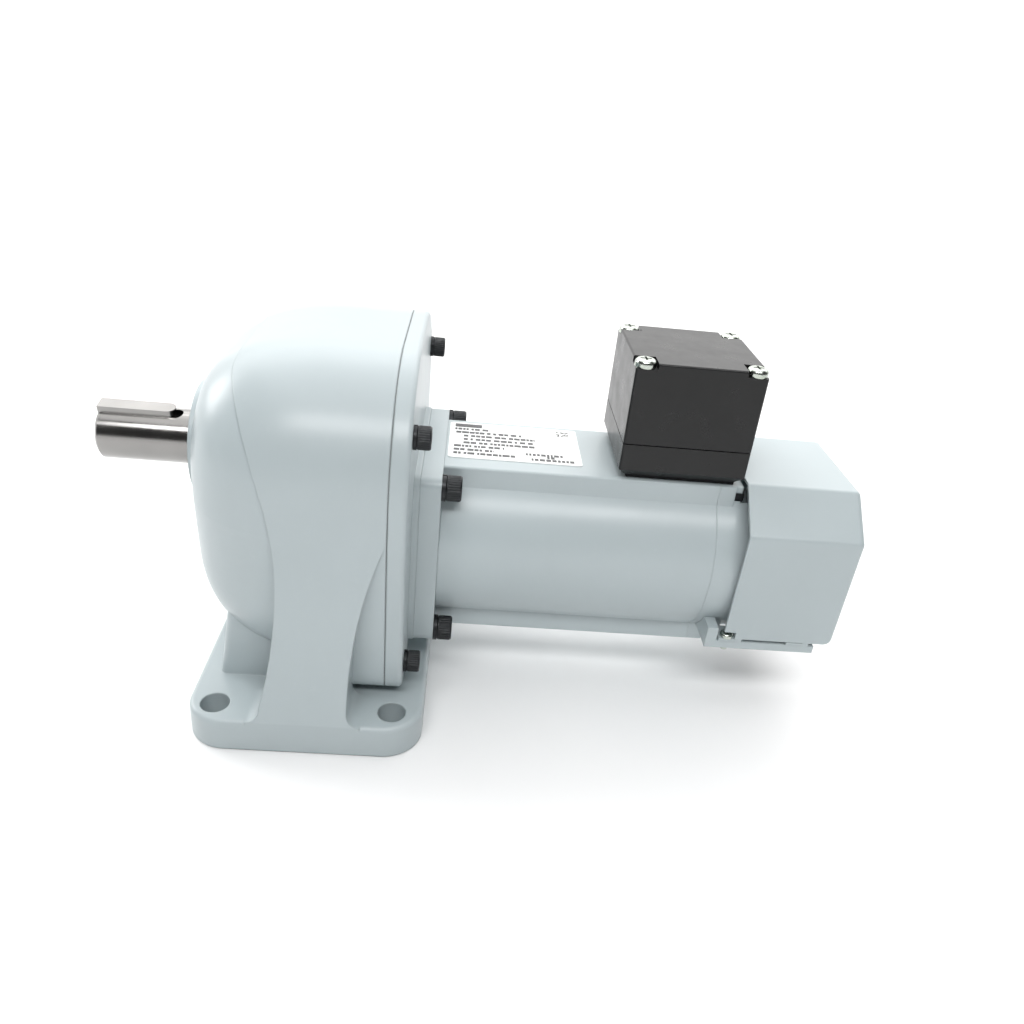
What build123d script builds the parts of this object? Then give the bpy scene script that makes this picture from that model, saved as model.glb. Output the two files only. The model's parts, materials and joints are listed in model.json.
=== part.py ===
from build123d import *
import os
from math import acos, atan2, cos, degrees, hypot, pi, radians, sin, sqrt, tan

# Foot-mounted parallel-shaft gearmotor, millimetres.
# Origin: centre of the four foot holes, on the underside of the foot.
# +X runs from the output shaft towards the motor, +Z is up.

# ---------------------------------------------------------------- driving sizes
FOOT_SIZE = (90.0, 152.6, 14.0)
FOOT_SHIFT = 0.75              # the foot plate reaches a little further towards the motor
FOOT_CORNER = 15.0
FOOT_HOLES = (67.5, 132.2)     # hole spacing along X and along Y
FOOT_HOLE_R = 5.5

OUTPUT_Z = 94.7                # height of the output shaft
MOTOR_Z = 64.2                 # height of the motor axis

CASE_TOP = 147.0
CASE_BOTTOM = 17.0
CASE_HALF = 66.0               # half width at the top, before the corners are rounded
CASE_CORNER = 46.0
WIDEST_HALF = 66.5
WIDEST_Z = 88.0
BOTTOM_HALF = 59.0
CASE_REAR = 29.8               # machined joint face of the gear case
GASKET_T = 0.4
COVER_FRONT = CASE_REAR + GASKET_T
COVER_REAR = 36.7
PAD_REAR = 39.1                # raised square pad that the motor bolts to
FLANGE_REAR = 47.2
WALL = 5.0

DOME_FRONT = -44.5             # flat nose of the case
DOME_BACK = 5.7                # where the curve towards the nose starts
DOME_Z = 91.3                  # height that the outline is drawn in towards
DOME_NOSE = 0.5                # size of the nose against the whole outline
DOME_BULGE = 2.2               # exponent of the curve between the two
DOME_STEPS = 9
DOME_INSET = 1.2               # how far the dome lies below the arch
DOME_LOW_CORNER = 40.0

LEG_TOP = 100.0                # the legs run up to here, where the sides of the case are upright
ARCH_STEPS = 5
LEG_FRONT_R = (130.0, 220.0)   # long arcs that waist the legs, above and below the waist
LEG_FRONT_WAIST = (-9.3, 70.0)
LEG_REAR_R = 190.0
LEG_REAR_WAIST = (17.4, 22.0)
LEG_FLARE = 5.0                # radius where a leg runs out onto the foot
LEG_INNER_Y = 57.0
PEDESTAL = (-36.5, 24.0, 48.7)  # front x, rear x, half width

BOSS_FRONT = -50.0             # face of the seal boss
SHAFT_TIP = -89.9
SHAFT_R = 11.0
SHAFT_STEP = -51.0             # the 22 mm shaft end starts here
SEAT_R = 12.5                  # seal and bearing seats of the output shaft
KEY_SIZE = (30.0, 6.0, 6.0)
KEY_DEPTH = 3.5
KEY_ANGLE = 12.0               # degrees from the top of the shaft, towards -Y

COVER_BOLTS = [(-50.7, 27.5), (50.7, 27.5), (-50.7, 124.4), (50.7, 124.4)]
MOTOR_BOLTS = [(sy * 32.7, z) for sy in (-1, 1) for z in (31.5, 96.5)]
PLATE_SCREWS = [(-44.0, 98.0), (44.0, 98.0), (-36.0, 38.0), (36.0, 38.0)]
DOWELS = [(-60.5, 84.0), (60.5, 84.0)]
SHIELD_SCREWS = [(sy * 19.0, z) for sy in (-1, 1) for z in (31.5, 96.6)]

FLANGE_HALF = 37.6
FLANGE_Z = (27.0, 101.3)
RAIL_HALF = 23.6               # half width of the flat strips on top of and under the motor
FRAME_R = FLANGE_Z[1] - MOTOR_Z
FRAME_REAR = 156.5
FRAME_BORE = 33.0
SHIELD_REAR = 166.0
SKIRT_REAR = 180.0             # rim of the end shield that reaches under the fan cover
STACK = (70.0, 125.0)          # stator and rotor laminations
ROTOR_R = 19.6

FAN_COVER_X = (166.6, 212.9)
FAN_COVER_TOP = (24.6, 103.9)
FAN_COVER_BEND = (40.7, 88.7)
FAN_COVER_SIDE = (39.5, 39.8)
FAN_COVER_CORNER = 4.5         # rounding of the lower rear corners, seen from the side
SHEET = 1.2
LEDGE_Z = (35.0, 38.4)         # ledges of the end shield that carry the fan cover's tabs
LEDGE_TOP = LEDGE_Z[1]
LEDGE_HALF = 39.3
TAB_SCREWS = [(x, side * y) for x, y in ((168.5, 37.2), (197.0, 35.2)) for side in (-1, 1)]
FAN_X = (173.0, 197.0)
FAN_R = 29.0
FAN_BLADES = 9

BOX_X = (114.7, 164.8)
BOX_HALF = 24.8
BOX_Z = (103.0, 116.6, 149.3)  # underside, lid seam, lid top
BOX_WALL = 2.4
BOX_MID_X = sum(BOX_X) / 2
BOX_SCREWS = [(BOX_MID_X, -18.6), (BOX_MID_X, 18.6)]
LEAD_HOLE = (124.0, 14.0, 16.0)  # middle, length and width of the hole for the motor leads
GLAND_Z = 130.0
NOTCH = 4.4                    # half width of the lid's corner pockets
NOTCH_DEPTH = 2.4

LABEL_X = (48.2, 102.2)
LABEL_Y = (-15.1, 20.2)

# gear pairs: module, driver teeth, wheel teeth
FIRST_PAIR = (1.0, 12, 50)
SECOND_PAIR = (1.25, 14, 40)
THIRD_PAIR = (1.5, 13, 45)
PRESSURE = radians(25)
ADDENDUM = 0.8                 # in modules
DEDENDUM = 1.08
THINNING = 0.05                # taken off each flank, millimetres

# places along X of what turns inside the case
PLATE_X = (-5.5, 6.5)
OUTPUT_GEAR_X = (-22.0, -6.5)
SECOND_PINION_X = (-22.5, -6.5)
SECOND_GEAR_X = (7.5, 17.0)
FIRST_PINION_X = (7.2, 18.6)
FIRST_GEAR_X = (19.0, 27.5)
MOTOR_PINION_X = (18.4, 28.5)

RUNNING = 0.03                 # radial clearance of bearing balls
LIP = 0.05                     # radial clearance of the shaft seals
os.makedirs("parts", exist_ok=True)


# ---------------------------------------------------------------- small helpers
def across(x):
    """Plane at x, seen along +X: its own x and y are the model's Y and Z."""
    return Plane(origin=(x, 0, 0), x_dir=(0, 1, 0), z_dir=(1, 0, 0))


def side_view(y):
    """Plane at y: its own x and y are the model's X and Z; extrusions run towards -Y."""
    return Plane(origin=(0, y, 0), x_dir=(1, 0, 0), z_dir=(0, -1, 0))


def cyl(x0, x1, r, y=0.0, z=0.0):
    return extrude(across(x0) * Pos(y, z) * Circle(r), x1 - x0)


def ring(x0, x1, r_out, r_in, y=0.0, z=0.0):
    return cyl(x0, x1, r_out, y, z) - cyl(x0 - 1, x1 + 1, r_in, y, z)


def block(x, y, z):
    """Box between two limits on each axis."""
    size = [b - a for a, b in (x, y, z)]
    middle = [(a + b) / 2 for a, b in (x, y, z)]
    return Pos(*middle) * Box(*size)


def slab(outline, x0, x1):
    """Outline in Y and Z, made solid from x0 to x1."""
    return extrude(across(x0) * outline, x1 - x0)


def turned(steps, y=0.0, z=0.0):
    """Shaft made of (x0, x1, radius) steps."""
    return sum_up([cyl(a, b, r, y, z) for a, b, r in steps])


def sum_up(shapes):
    total = shapes[0]
    for shape in shapes[1:]:
        total = total + shape
    return total


def solids_of(shapes):
    """Separate solids kept apart in one node."""
    return Compound(children=[solid for shape in shapes for solid in shape.solids()])


def save(name, shape):
    shape.label = name
    export_step(shape, f"parts/{name}.step")


# ---------------------------------------------------------------- gears
def mesh_distance(pair):
    module, driver, wheel = pair
    return module * (driver + wheel) / 2


def tooth_outline(module, teeth):
    """One tooth space of a stub involute gear, as a face to cut away, centred on +X."""
    pitch = module * teeth / 2
    base = pitch * cos(PRESSURE)
    tip = pitch + ADDENDUM * module
    root = pitch - DEDENDUM * module
    involute = tan(PRESSURE) - PRESSURE
    half_space = pi / (2 * teeth) - involute + THINNING / pitch

    def flank(r):
        r = max(r, base)
        angle = acos(base / r)
        return half_space + tan(angle) - angle

    def polar(r, angle):
        return (r * cos(angle), r * sin(angle))

    def at(r, sign):
        return polar(r, sign * flank(r))

    start = max(base, root)
    over = tip + 0.3 * module
    middle = (start + over) / 2
    left = ThreePointArc(at(start, 1), at(middle, 1), at(over, 1))
    right = ThreePointArc(at(over, -1), at(middle, -1), at(start, -1))
    low_left, low_right = polar(root, flank(start)), polar(root, -flank(start))
    floor = ThreePointArc(low_right, (root, 0), low_left)
    edges = [left, Line(at(over, 1), at(over, -1)), right, floor]
    if start > root:
        edges += [Line(low_left, at(start, 1)), Line(at(start, -1), low_right)]
    return make_face(Wire(edges))


def toothed(module, teeth, x, centre, towards, tooth_there):
    """Gear blank with its teeth cut; a tooth or a space points `towards` degrees."""
    tip = module * teeth / 2 + ADDENDUM * module
    pitch_angle = 360 / teeth
    first = towards + (pitch_angle / 2 if tooth_there else 0)
    space = tooth_outline(module, teeth)
    spaces = [Rot(0, 0, first + i * pitch_angle) * space for i in range(teeth)]
    face = Circle(tip) - spaces
    return slab(Pos(*centre) * face, *x)


def bearing_to(a, b):
    """Angle of the line from centre a to centre b, in degrees."""
    return degrees(atan2(b[1] - a[1], b[0] - a[0]))


def third_corner(p, p_dist, q, q_dist):
    """Point at given distances from p and q, to the left of the line from p to q."""
    gap = hypot(q[0] - p[0], q[1] - p[1])
    along = (p_dist ** 2 - q_dist ** 2 + gap ** 2) / (2 * gap)
    aside = sqrt(p_dist ** 2 - along ** 2)
    ux, uy = (q[0] - p[0]) / gap, (q[1] - p[1]) / gap
    return (p[0] + along * ux - aside * uy, p[1] + along * uy + aside * ux)


MOTOR = (0.0, MOTOR_Z)
OUTPUT = (0.0, OUTPUT_Z)
FIRST = (mesh_distance(FIRST_PAIR), MOTOR_Z)
SECOND = third_corner(FIRST, mesh_distance(SECOND_PAIR), OUTPUT, mesh_distance(THIRD_PAIR))


# ---------------------------------------------------------------- ball bearings
def bearing(x0, width, r_out, r_in, centre, balls):
    """Outer ring, inner ring and balls of one deep-groove bearing."""
    middle = x0 + width / 2
    track = (r_out + r_in) / 2
    ball_r = 0.3 * (r_out - r_in)
    lip = 0.22 * (r_out - r_in)
    groove = across(middle) * Pos(*centre) * Torus(track, ball_r + RUNNING)
    outer = ring(x0, x0 + width, r_out, track + lip, *centre) - groove
    inner = ring(x0, x0 + width, track - lip, r_in, *centre) - groove
    spheres = []
    for i in range(balls):
        a = 2 * pi * i / balls
        spot = (middle, centre[0] + track * cos(a), centre[1] + track * sin(a))
        spheres.append(Pos(*spot) * Sphere(ball_r))
    return outer, inner, spheres


# x0, width, outer radius, bore radius, centre, balls
BEARINGS = {
    "output": [(-41.0, 15.0, 26.0, SEAT_R, OUTPUT, 9), (-5.5, 12.0, 20.0, 8.5, OUTPUT, 8)],
    "second_shaft": [(-33.0, 8.0, 13.0, 5.0, SECOND, 7), (-3.5, 8.0, 13.0, 5.0, SECOND, 7)],
    "first_shaft": [(-1.5, 7.0, 11.0, 4.0, FIRST, 7), (29.2, 7.0, 11.0, 4.0, FIRST, 7)],
    "rotor": [(41.2, 8.0, 14.0, 6.0, MOTOR, 8), (153.0, 8.0, 14.0, 6.0, MOTOR, 8)],
}


def bearing_nodes():
    for name, pair in BEARINGS.items():
        made = [bearing(*spec) for spec in pair]
        save(f"{name}_bearing_outer_rings", solids_of([m[0] for m in made]))
        save(f"{name}_bearing_inner_rings", solids_of([m[1] for m in made]))
        save(f"{name}_bearing_balls", solids_of([ball for m in made for ball in m[2]]))


# ---------------------------------------------------------------- fasteners
def hexagon_hole(x0, x1, across_flats, y, z):
    return slab(Pos(y, z) * RegularPolygon(across_flats / sqrt(3), 6), x0, x1)


def cap_screw(x, y, z, head_r, head_h, shank_r, shank_l, washer):
    """Socket-head cap screw pointing -X, its head standing on a washer at x."""
    seat = x + washer
    top = seat + head_h
    head = fillet(cyl(seat, top, head_r, y, z).edges().sort_by(Axis.X)[-1:], 0.4)
    return head + cyl(x - shank_l, seat, shank_r, y, z) - hexagon_hole(top - head_h / 2, top, head_r, y, z)


def split_washer(x, y, z, r_out, r_in, t):
    gap = block((x - 1, x + t + 1), (y - 0.35, y + 0.35), (z + r_in - 0.5, z + r_out + 1))
    return ring(x, x + t, r_out, r_in, y, z) - gap


def pan_screw(x, y, z, r, head_h, shank_r, shank_l):
    """Pan-head cross-recess screw pointing down, the underside of its head at z."""
    blank = Pos(x, y, z + head_h / 2) * Cylinder(r, head_h)
    head = fillet(blank.edges().sort_by(Axis.Z)[-1:], head_h * 0.55)
    shank = Pos(x, y, z - shank_l / 2) * Cylinder(shank_r, shank_l)
    slot = Pos(x, y, z + head_h) * (Box(r * 1.05, 0.8, head_h) + Box(0.8, r * 1.05, head_h))
    return head + shank - slot


# ---------------------------------------------------------------- gear case and cover
def joint_outline(inset=0.0, low_corner=9.0):
    """Outline of the joint between case and cover, shrunk by inset."""
    points = [(-CASE_HALF, CASE_TOP), (CASE_HALF, CASE_TOP), (WIDEST_HALF, WIDEST_Z),
              (BOTTOM_HALF, CASE_BOTTOM), (-BOTTOM_HALF, CASE_BOTTOM), (-WIDEST_HALF, WIDEST_Z)]
    face = make_face(Polyline(*points, close=True))
    corners = face.vertices().sort_by(Axis.Y)
    face = fillet(corners[-2:], CASE_CORNER)
    face = fillet(face.vertices().sort_by(Axis.Y)[:2], low_corner)
    return offset(face, -inset) if inset else face


def dome_size(along):
    """Size of the case against the whole outline, along 0 at DOME_BACK to 1 at the nose."""
    return DOME_NOSE + (1 - DOME_NOSE) * (1 - along ** DOME_BULGE) ** (1 / DOME_BULGE)


def arch_outline(size):
    """Front view of the arch, its sides spreading to the foot in long arcs."""
    foot_half, foot_top = FOOT_SIZE[1] / 2, FOOT_SIZE[2]
    above = (CASE_TOP - LEG_TOP) / (CASE_TOP - WIDEST_Z)
    waist_half = size * (CASE_HALF + (WIDEST_HALF - CASE_HALF) * above)
    waist_z = DOME_Z + (LEG_TOP - DOME_Z) * size
    top_half, top_z = CASE_HALF * size, DOME_Z + (CASE_TOP - DOME_Z) * size
    spread, drop = foot_half - waist_half, waist_z - foot_top
    r = (drop ** 2 + spread ** 2) / (2 * spread)
    middle_z = waist_z - drop / 2
    middle_half = waist_half + r - sqrt(r ** 2 - (drop / 2) ** 2)
    face = make_face(Wire([
        Line((-foot_half, 3), (foot_half, 3)),
        Line((foot_half, 3), (foot_half, foot_top)),
        ThreePointArc((foot_half, foot_top), (middle_half, middle_z), (waist_half, waist_z)),
        Line((waist_half, waist_z), (top_half, top_z)),
        Line((top_half, top_z), (-top_half, top_z)),
        Line((-top_half, top_z), (-waist_half, waist_z)),
        ThreePointArc((-waist_half, waist_z), (-middle_half, middle_z), (-foot_half, foot_top)),
        Line((-foot_half, foot_top), (-foot_half, 3)),
    ]))
    return fillet(face.vertices().sort_by(Axis.Y)[-2:], CASE_CORNER * size)


def whole_arch():
    """The arch and both legs in one body, drawn in forward as the dome is."""
    sections = []
    for i in range(ARCH_STEPS + 1):
        along = sin(pi / 2 * i / DOME_STEPS)
        x = DOME_BACK - along * (DOME_BACK - DOME_FRONT)
        sections.append(across(x) * arch_outline(dome_size(along)))
    return loft(sections) + slab(arch_outline(1.0), DOME_BACK, CASE_REAR)


def flare(x, side):
    """Quarter arc from a leg's face at x down onto the foot; side is -1 for front, 1 for rear."""
    foot, r = FOOT_SIZE[2], LEG_FLARE
    short = r * (1 - sqrt(0.5))
    return ThreePointArc((x, foot + r), (x + side * short, foot + short), (x + side * r, foot))


def arch_side():
    """Side view of the arch: waisted by long arcs below, full length above."""
    def front(z):
        x, waist = LEG_FRONT_WAIST
        r = LEG_FRONT_R[0] if z > waist else LEG_FRONT_R[1]
        return x - r + sqrt(r ** 2 - (z - waist) ** 2)

    def rear(z):
        x, waist = LEG_REAR_WAIST
        return x + LEG_REAR_R - sqrt(LEG_REAR_R ** 2 - (z - waist) ** 2)

    high, low, shoulder, top = 138.0, 3.0, 92.0, CASE_TOP + 5
    foot = FOOT_SIZE[2]
    start = foot + LEG_FLARE
    waist = LEG_FRONT_WAIST[1]
    toe, heel = front(start) - LEG_FLARE, rear(start) + LEG_FLARE
    edges = [
        Line((toe, low), (toe, foot)),
        flare(front(start), -1),
        ThreePointArc((front(start), start), (front(45.0), 45.0), (front(waist), waist)),
        ThreePointArc((front(waist), waist), (front(105.0), 105.0), (front(high), high)),
        Line((front(high), high), (front(high), top)),
        Line((front(high), top), (CASE_REAR, top)),
        Line((CASE_REAR, top), (CASE_REAR, shoulder)),
        Line((CASE_REAR, shoulder), (rear(shoulder), shoulder)),
        ThreePointArc((rear(shoulder), shoulder), (rear(50.0), 50.0), (rear(start), start)),
        flare(rear(start), 1),
        Line((heel, foot), (heel, low)),
        Line((heel, low), (toe, low)),
    ]
    return make_face(Wire(edges))


def dome(inset):
    """The joint's outline, drawn in towards a flat nose along a super-ellipse."""
    outline = joint_outline(inset, DOME_LOW_CORNER)
    front = DOME_FRONT + max(inset - DOME_INSET, 0)
    sections = []
    for i in range(DOME_STEPS + 1):
        along = sin(pi / 2 * i / DOME_STEPS)
        size = dome_size(along)
        section = Pos(0, DOME_Z * (1 - size)) * scale(outline, by=size)
        sections.append(across(DOME_BACK - along * (DOME_BACK - front)) * section)
    return loft(sections) + slab(outline, DOME_BACK, CASE_REAR + 1)


def foot_plate():
    x, y, z = FOOT_SIZE
    plate = Pos(FOOT_SHIFT, 0, z / 2) * Box(x, y, z)
    plate = fillet(plate.edges().filter_by(Axis.Z), FOOT_CORNER)
    plate = fillet(plate.faces().sort_by(Axis.Z)[-1].edges(), 2.0)
    return chamfer(plate.faces().sort_by(Axis.Z)[0].edges(), 0.6)


def pedestal():
    """Block between the legs that carries the dome on the foot."""
    front, rear, half = PEDESTAL
    points = [(front, 5), (front, FOOT_SIZE[2]), (front + 5.0, 50), (rear, 50), (rear, 5)]
    solid = extrude(side_view(half) * make_face(Polyline(*points, close=True)), 2 * half)
    return fillet(solid.edges().filter_by(lambda e: e.center().X < front + 4 and abs(e.center().Y) > 40
                                          and e.length > 30), 3.0)


def gear_case():
    arch = whole_arch() & extrude(side_view(100) * arch_side(), 200)
    arch = arch - block((-60, 40), (-LEG_INNER_Y, LEG_INNER_Y), (FOOT_SIZE[2], 60))
    shell = dome(DOME_INSET) & block((-80, CASE_REAR), (-100, 100), (0, CASE_TOP + 10))
    shell = shell + slab(joint_outline(), 12, CASE_REAR)
    boss = cyl(BOSS_FRONT, -40, 24, *OUTPUT)
    case = foot_plate() + arch + shell + pedestal() + boss

    cavity = dome(DOME_INSET + WALL)
    posts = [cyl(-60, PLATE_X[0], 6, *spot) for spot in PLATE_SCREWS]
    posts += [cyl(-60, -25, 32, *OUTPUT), cyl(-60, -24.8, 17, *SECOND)]
    posts += [cyl(10, 40, 7.5, *spot) for spot in COVER_BOLTS + DOWELS]
    case = case - (cavity - sum_up(posts))

    case = case - cyl(BOSS_FRONT - 1, -42.9, 20, *OUTPUT) - cyl(-60, -30, 17, *OUTPUT)
    case = case - cyl(-41, -20, 26, *OUTPUT) - cyl(-33, -20, 13, *SECOND) - cyl(-33.8, -30, 9, *SECOND)
    for spot in PLATE_SCREWS:
        case = case - cyl(PLATE_X[0] - 11, PLATE_X[0] + 1, 2.5, *spot)
    for spot in COVER_BOLTS:
        case = case - cyl(CASE_REAR - 13, CASE_REAR + 1, 2.5, *spot)
    for spot in DOWELS:
        case = case - cyl(CASE_REAR - 6, CASE_REAR + 1, 2.0, *spot)
    dx, dy = FOOT_HOLES
    for hole in GridLocations(dx, dy, 2, 2):
        case = case - hole * Cylinder(FOOT_HOLE_R, 60)
    return case


def gear_cover():
    plate = slab(joint_outline(), COVER_FRONT, COVER_REAR)
    plate = fillet(plate.faces().sort_by(Axis.X)[-1].edges(), 1.8)
    pad_face = Pos(0, sum(FLANGE_Z) / 2) * RectangleRounded(
        2 * FLANGE_HALF + 1, FLANGE_Z[1] - FLANGE_Z[0] + 1, 4.5)
    cover = plate + slab(pad_face, COVER_REAR - 2, PAD_REAR) + cyl(28.6, 33, 15, *FIRST)
    cover = cover + cyl(COVER_FRONT - 1, 33, 17, *MOTOR)
    cover = cover - cyl(20, 50, 9, *MOTOR) - cyl(33.9, 50, 12, *MOTOR) - cyl(37.1, 50, 15, *MOTOR)
    cover = cover - cyl(28, 36.2, 11, *FIRST) - cyl(28, 36.8, 7, *FIRST)
    for spot in COVER_BOLTS:
        cover = cover - cyl(20, 50, 2.75, *spot)
    for spot in DOWELS:
        cover = cover - cyl(20, 34, 2.0, *spot)
    for spot in MOTOR_BOLTS:
        cover = cover - cyl(20, 50, 3.0, *spot)
    return cover


def cover_gasket():
    face = joint_outline(0.3) - joint_outline(DOME_INSET + WALL, DOME_LOW_CORNER)
    for spot in COVER_BOLTS + DOWELS:
        face = face + (Pos(*spot) * Circle(7.5) & joint_outline(0.3))
    for spot in COVER_BOLTS + DOWELS:
        face = face - Pos(*spot) * Circle(2.75)
    return slab(face, CASE_REAR, COVER_FRONT)


def intermediate_plate():
    """Aluminium plate inside the case that holds the middle bearings."""
    face = make_hull(sum_edges([Pos(*OUTPUT) * Circle(26), Pos(*SECOND) * Circle(18),
                                Pos(*FIRST) * Circle(16)]
                               + [Pos(*spot) * Circle(6) for spot in PLATE_SCREWS]))
    plate = slab(face, *PLATE_X)
    plate = plate - cyl(-5.5, 20, 20, *OUTPUT) - cyl(-3.5, 20, 13, *SECOND) - cyl(-1.5, 20, 11, *FIRST)
    plate = plate - cyl(-20, 20, 11.5, *SECOND) - cyl(-20, 20, 9, *OUTPUT)
    plate = plate - cyl(-20, 20, 6.5, *FIRST)
    for spot in PLATE_SCREWS:
        plate = plate - cyl(-20, 20, 2.75, *spot)
    return plate


def sum_edges(faces):
    return ShapeList([edge for face in faces for edge in face.edges()])


# ---------------------------------------------------------------- turning parts
def output_shaft():
    steps = [(SHAFT_TIP, SHAFT_STEP, SHAFT_R), (SHAFT_STEP, -25.8, SEAT_R), (-25.8, -22.2, 15),
             (-22.2, -5.9, 12), (-5.9, 7.5, 8.5)]
    shaft = turned(steps, *OUTPUT)
    shaft = chamfer(shaft.faces().sort_by(Axis.X)[0].edges(), 1.0)
    shaft = shaft - Pos(SHAFT_TIP + 2, 0, OUTPUT_Z) * Rot(0, 90, 0) * Cone(3.2, 0.2, 6)
    shaft = shaft - key_block(OUTPUT, SHAFT_TIP - 1, SHAFT_TIP + KEY_SIZE[0] + 2.5, KEY_SIZE[1],
                              SHAFT_R - KEY_DEPTH, 30, KEY_ANGLE)
    return shaft - key_block(OUTPUT, -20, -9, 6, 12 - 3, 30, 180, both_ends=True)


def key_block(centre, x0, x1, width, low, high, angle, both_ends=False):
    """Block on a shaft at a turn from the top towards -Y, its +X end rounded."""
    y, z = centre
    face = Pos((x0 + x1) / 2, 0) * Rectangle(x1 - x0, width)
    ends = [e for e in face.vertices() if both_ends or e.X > (x0 + x1) / 2]
    face = fillet(ends, width / 2 - 0.01)
    solid = extrude(Plane(origin=(0, 0, low)) * face, high - low)
    return Pos(0, y, z) * Rot(angle, 0, 0) * solid


def output_key():
    length, width, height = KEY_SIZE
    low = SHAFT_R - KEY_DEPTH
    return key_block(OUTPUT, SHAFT_TIP + 0.4, SHAFT_TIP + length, width, low, low + height, KEY_ANGLE)


def output_gear():
    module, driver, wheel = THIRD_PAIR
    gear = toothed(module, wheel, OUTPUT_GEAR_X, OUTPUT, bearing_to(OUTPUT, SECOND), True)
    gear = gear - cyl(-30, 0, 12, *OUTPUT)
    relief = ring(-30, -18, 27, 18, *OUTPUT) + ring(-10, 0, 27, 18, *OUTPUT)
    return gear - relief - key_block(OUTPUT, -30, 0, 6, 0, 15, 180)


def second_shaft():
    module, driver, wheel = THIRD_PAIR
    pinion = toothed(module, driver, SECOND_PINION_X, SECOND, bearing_to(SECOND, OUTPUT), False)
    return pinion + turned([(-32.8, -24.7, 5), (-24.7, -22.5, 7), (-6.5, -3.6, 6.5),
                            (-3.6, 5.0, 5), (5.0, 18.0, 5)], *SECOND)


def second_gear():
    module, driver, wheel = SECOND_PAIR
    gear = toothed(module, wheel, SECOND_GEAR_X, SECOND, bearing_to(SECOND, FIRST), True)
    return gear + ring(5.0, 7.6, 8, 4, *SECOND) - cyl(0, 30, 5, *SECOND)


def first_shaft():
    module, driver, wheel = SECOND_PAIR
    pinion = toothed(module, driver, FIRST_PINION_X, FIRST, bearing_to(FIRST, SECOND), False)
    return pinion + turned([(-2.0, 5.5, 4), (5.5, 7.3, 5.2), (18.5, 27.6, 6), (27.6, 29.1, 5.2),
                            (29.1, 35.9, 4)], *FIRST)


def first_gear():
    module, driver, wheel = FIRST_PAIR
    gear = toothed(module, wheel, FIRST_GEAR_X, FIRST, bearing_to(FIRST, MOTOR), True)
    holes = [Pos(*FIRST) * Rot(0, 0, i * 60) * Pos(15, 0) * Circle(3.5) for i in range(6)]
    return gear - cyl(0, 40, 6, *FIRST) - slab(Sketch() + holes, 0, 40)


def rotor_shaft():
    module, driver, wheel = FIRST_PAIR
    pinion = toothed(module, driver, MOTOR_PINION_X, MOTOR, bearing_to(MOTOR, FIRST), False)
    return pinion + turned([(28.4, 41.0, 7), (41.0, 49.4, 6), (49.4, 152.8, 8), (152.8, 161.3, 6),
                            (161.3, 196.0, 5)], *MOTOR)


def rotor_core():
    slots = [Rot(0, 0, i * 360 / 22) * Pos(ROTOR_R - 3.4, 0) * Circle(1.3) for i in range(22)]
    return slab(Pos(*MOTOR) * (Circle(ROTOR_R) - Circle(8) - slots), *STACK)


def rotor_cage():
    """Die-cast end rings of the rotor with their short fan lugs."""
    ends = []
    for x0, x1, tip in ((STACK[0] - 5, STACK[0], -3), (STACK[1], STACK[1] + 5, 3)):
        end = ring(x0, x1, ROTOR_R - 0.4, 12, *MOTOR)
        for i in range(8):
            lug = Pos(*MOTOR) * Rot(0, 0, i * 45) * Pos(16, 0) * Rectangle(5, 1.8)
            end = end + slab(lug, min(x0, x0 + tip), max(x1, x1 + tip))
        ends.append(end)
    return solids_of(ends)


def cooling_fan():
    x0, x1 = FAN_X
    fan = ring(x0, x1 - 4, 9, 5, *MOTOR) + ring(x0, x0 + 1.6, FAN_R, 8, *MOTOR)
    for i in range(FAN_BLADES):
        blade = Pos(*MOTOR) * Rot(0, 0, i * 360 / FAN_BLADES) * Pos(18.4, 0) * Rectangle(20.4, 1.6)
        fan = fan + slab(blade, x0, x1 - 2)
    return fan


# ---------------------------------------------------------------- motor housing
def motor_section(rail_half=RAIL_HALF, r=FRAME_R):
    z0, z1 = FLANGE_Z
    rails = Pos(0, (z0 + z1) / 2) * RectangleRounded(2 * rail_half, z1 - z0, 1.0)
    return Pos(*MOTOR) * Circle(r) + rails


def motor_flange():
    z0, z1 = FLANGE_Z
    face = Pos(0, (z0 + z1) / 2) * RectangleRounded(2 * FLANGE_HALF, z1 - z0, 4)
    flange = slab(face, PAD_REAR, FLANGE_REAR)
    flange = flange + ring(37.3, PAD_REAR + 1, 15, 10, *MOTOR) + cyl(FLANGE_REAR - 1, 51, 18, *MOTOR)
    flange = flange + ring(FLANGE_REAR - 1, 50, FRAME_BORE, 30, *MOTOR)
    flange = flange - cyl(30, 60, 8.5, *MOTOR) - cyl(41.2, 60, 14, *MOTOR)
    for spot in MOTOR_BOLTS:
        flange = flange - cyl(30, 60, 3.3, *spot)
    return flange


def lead_hole():
    x, length, width = LEAD_HOLE
    return Pos(x, 0, FLANGE_Z[1]) * Box(length, width, 30)


def motor_frame():
    frame = slab(motor_section() - Pos(*MOTOR) * Circle(FRAME_BORE), FLANGE_REAR, FRAME_REAR)
    frame = frame - lead_hole()
    for x, y in BOX_SCREWS:
        frame = frame - Pos(x, y, FLANGE_Z[1]) * Cylinder(1.7, 14)
    for spot in SHIELD_SCREWS:
        frame = frame - cyl(FRAME_REAR - 14, FRAME_REAR + 1, 2, *spot)
    return frame


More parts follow.
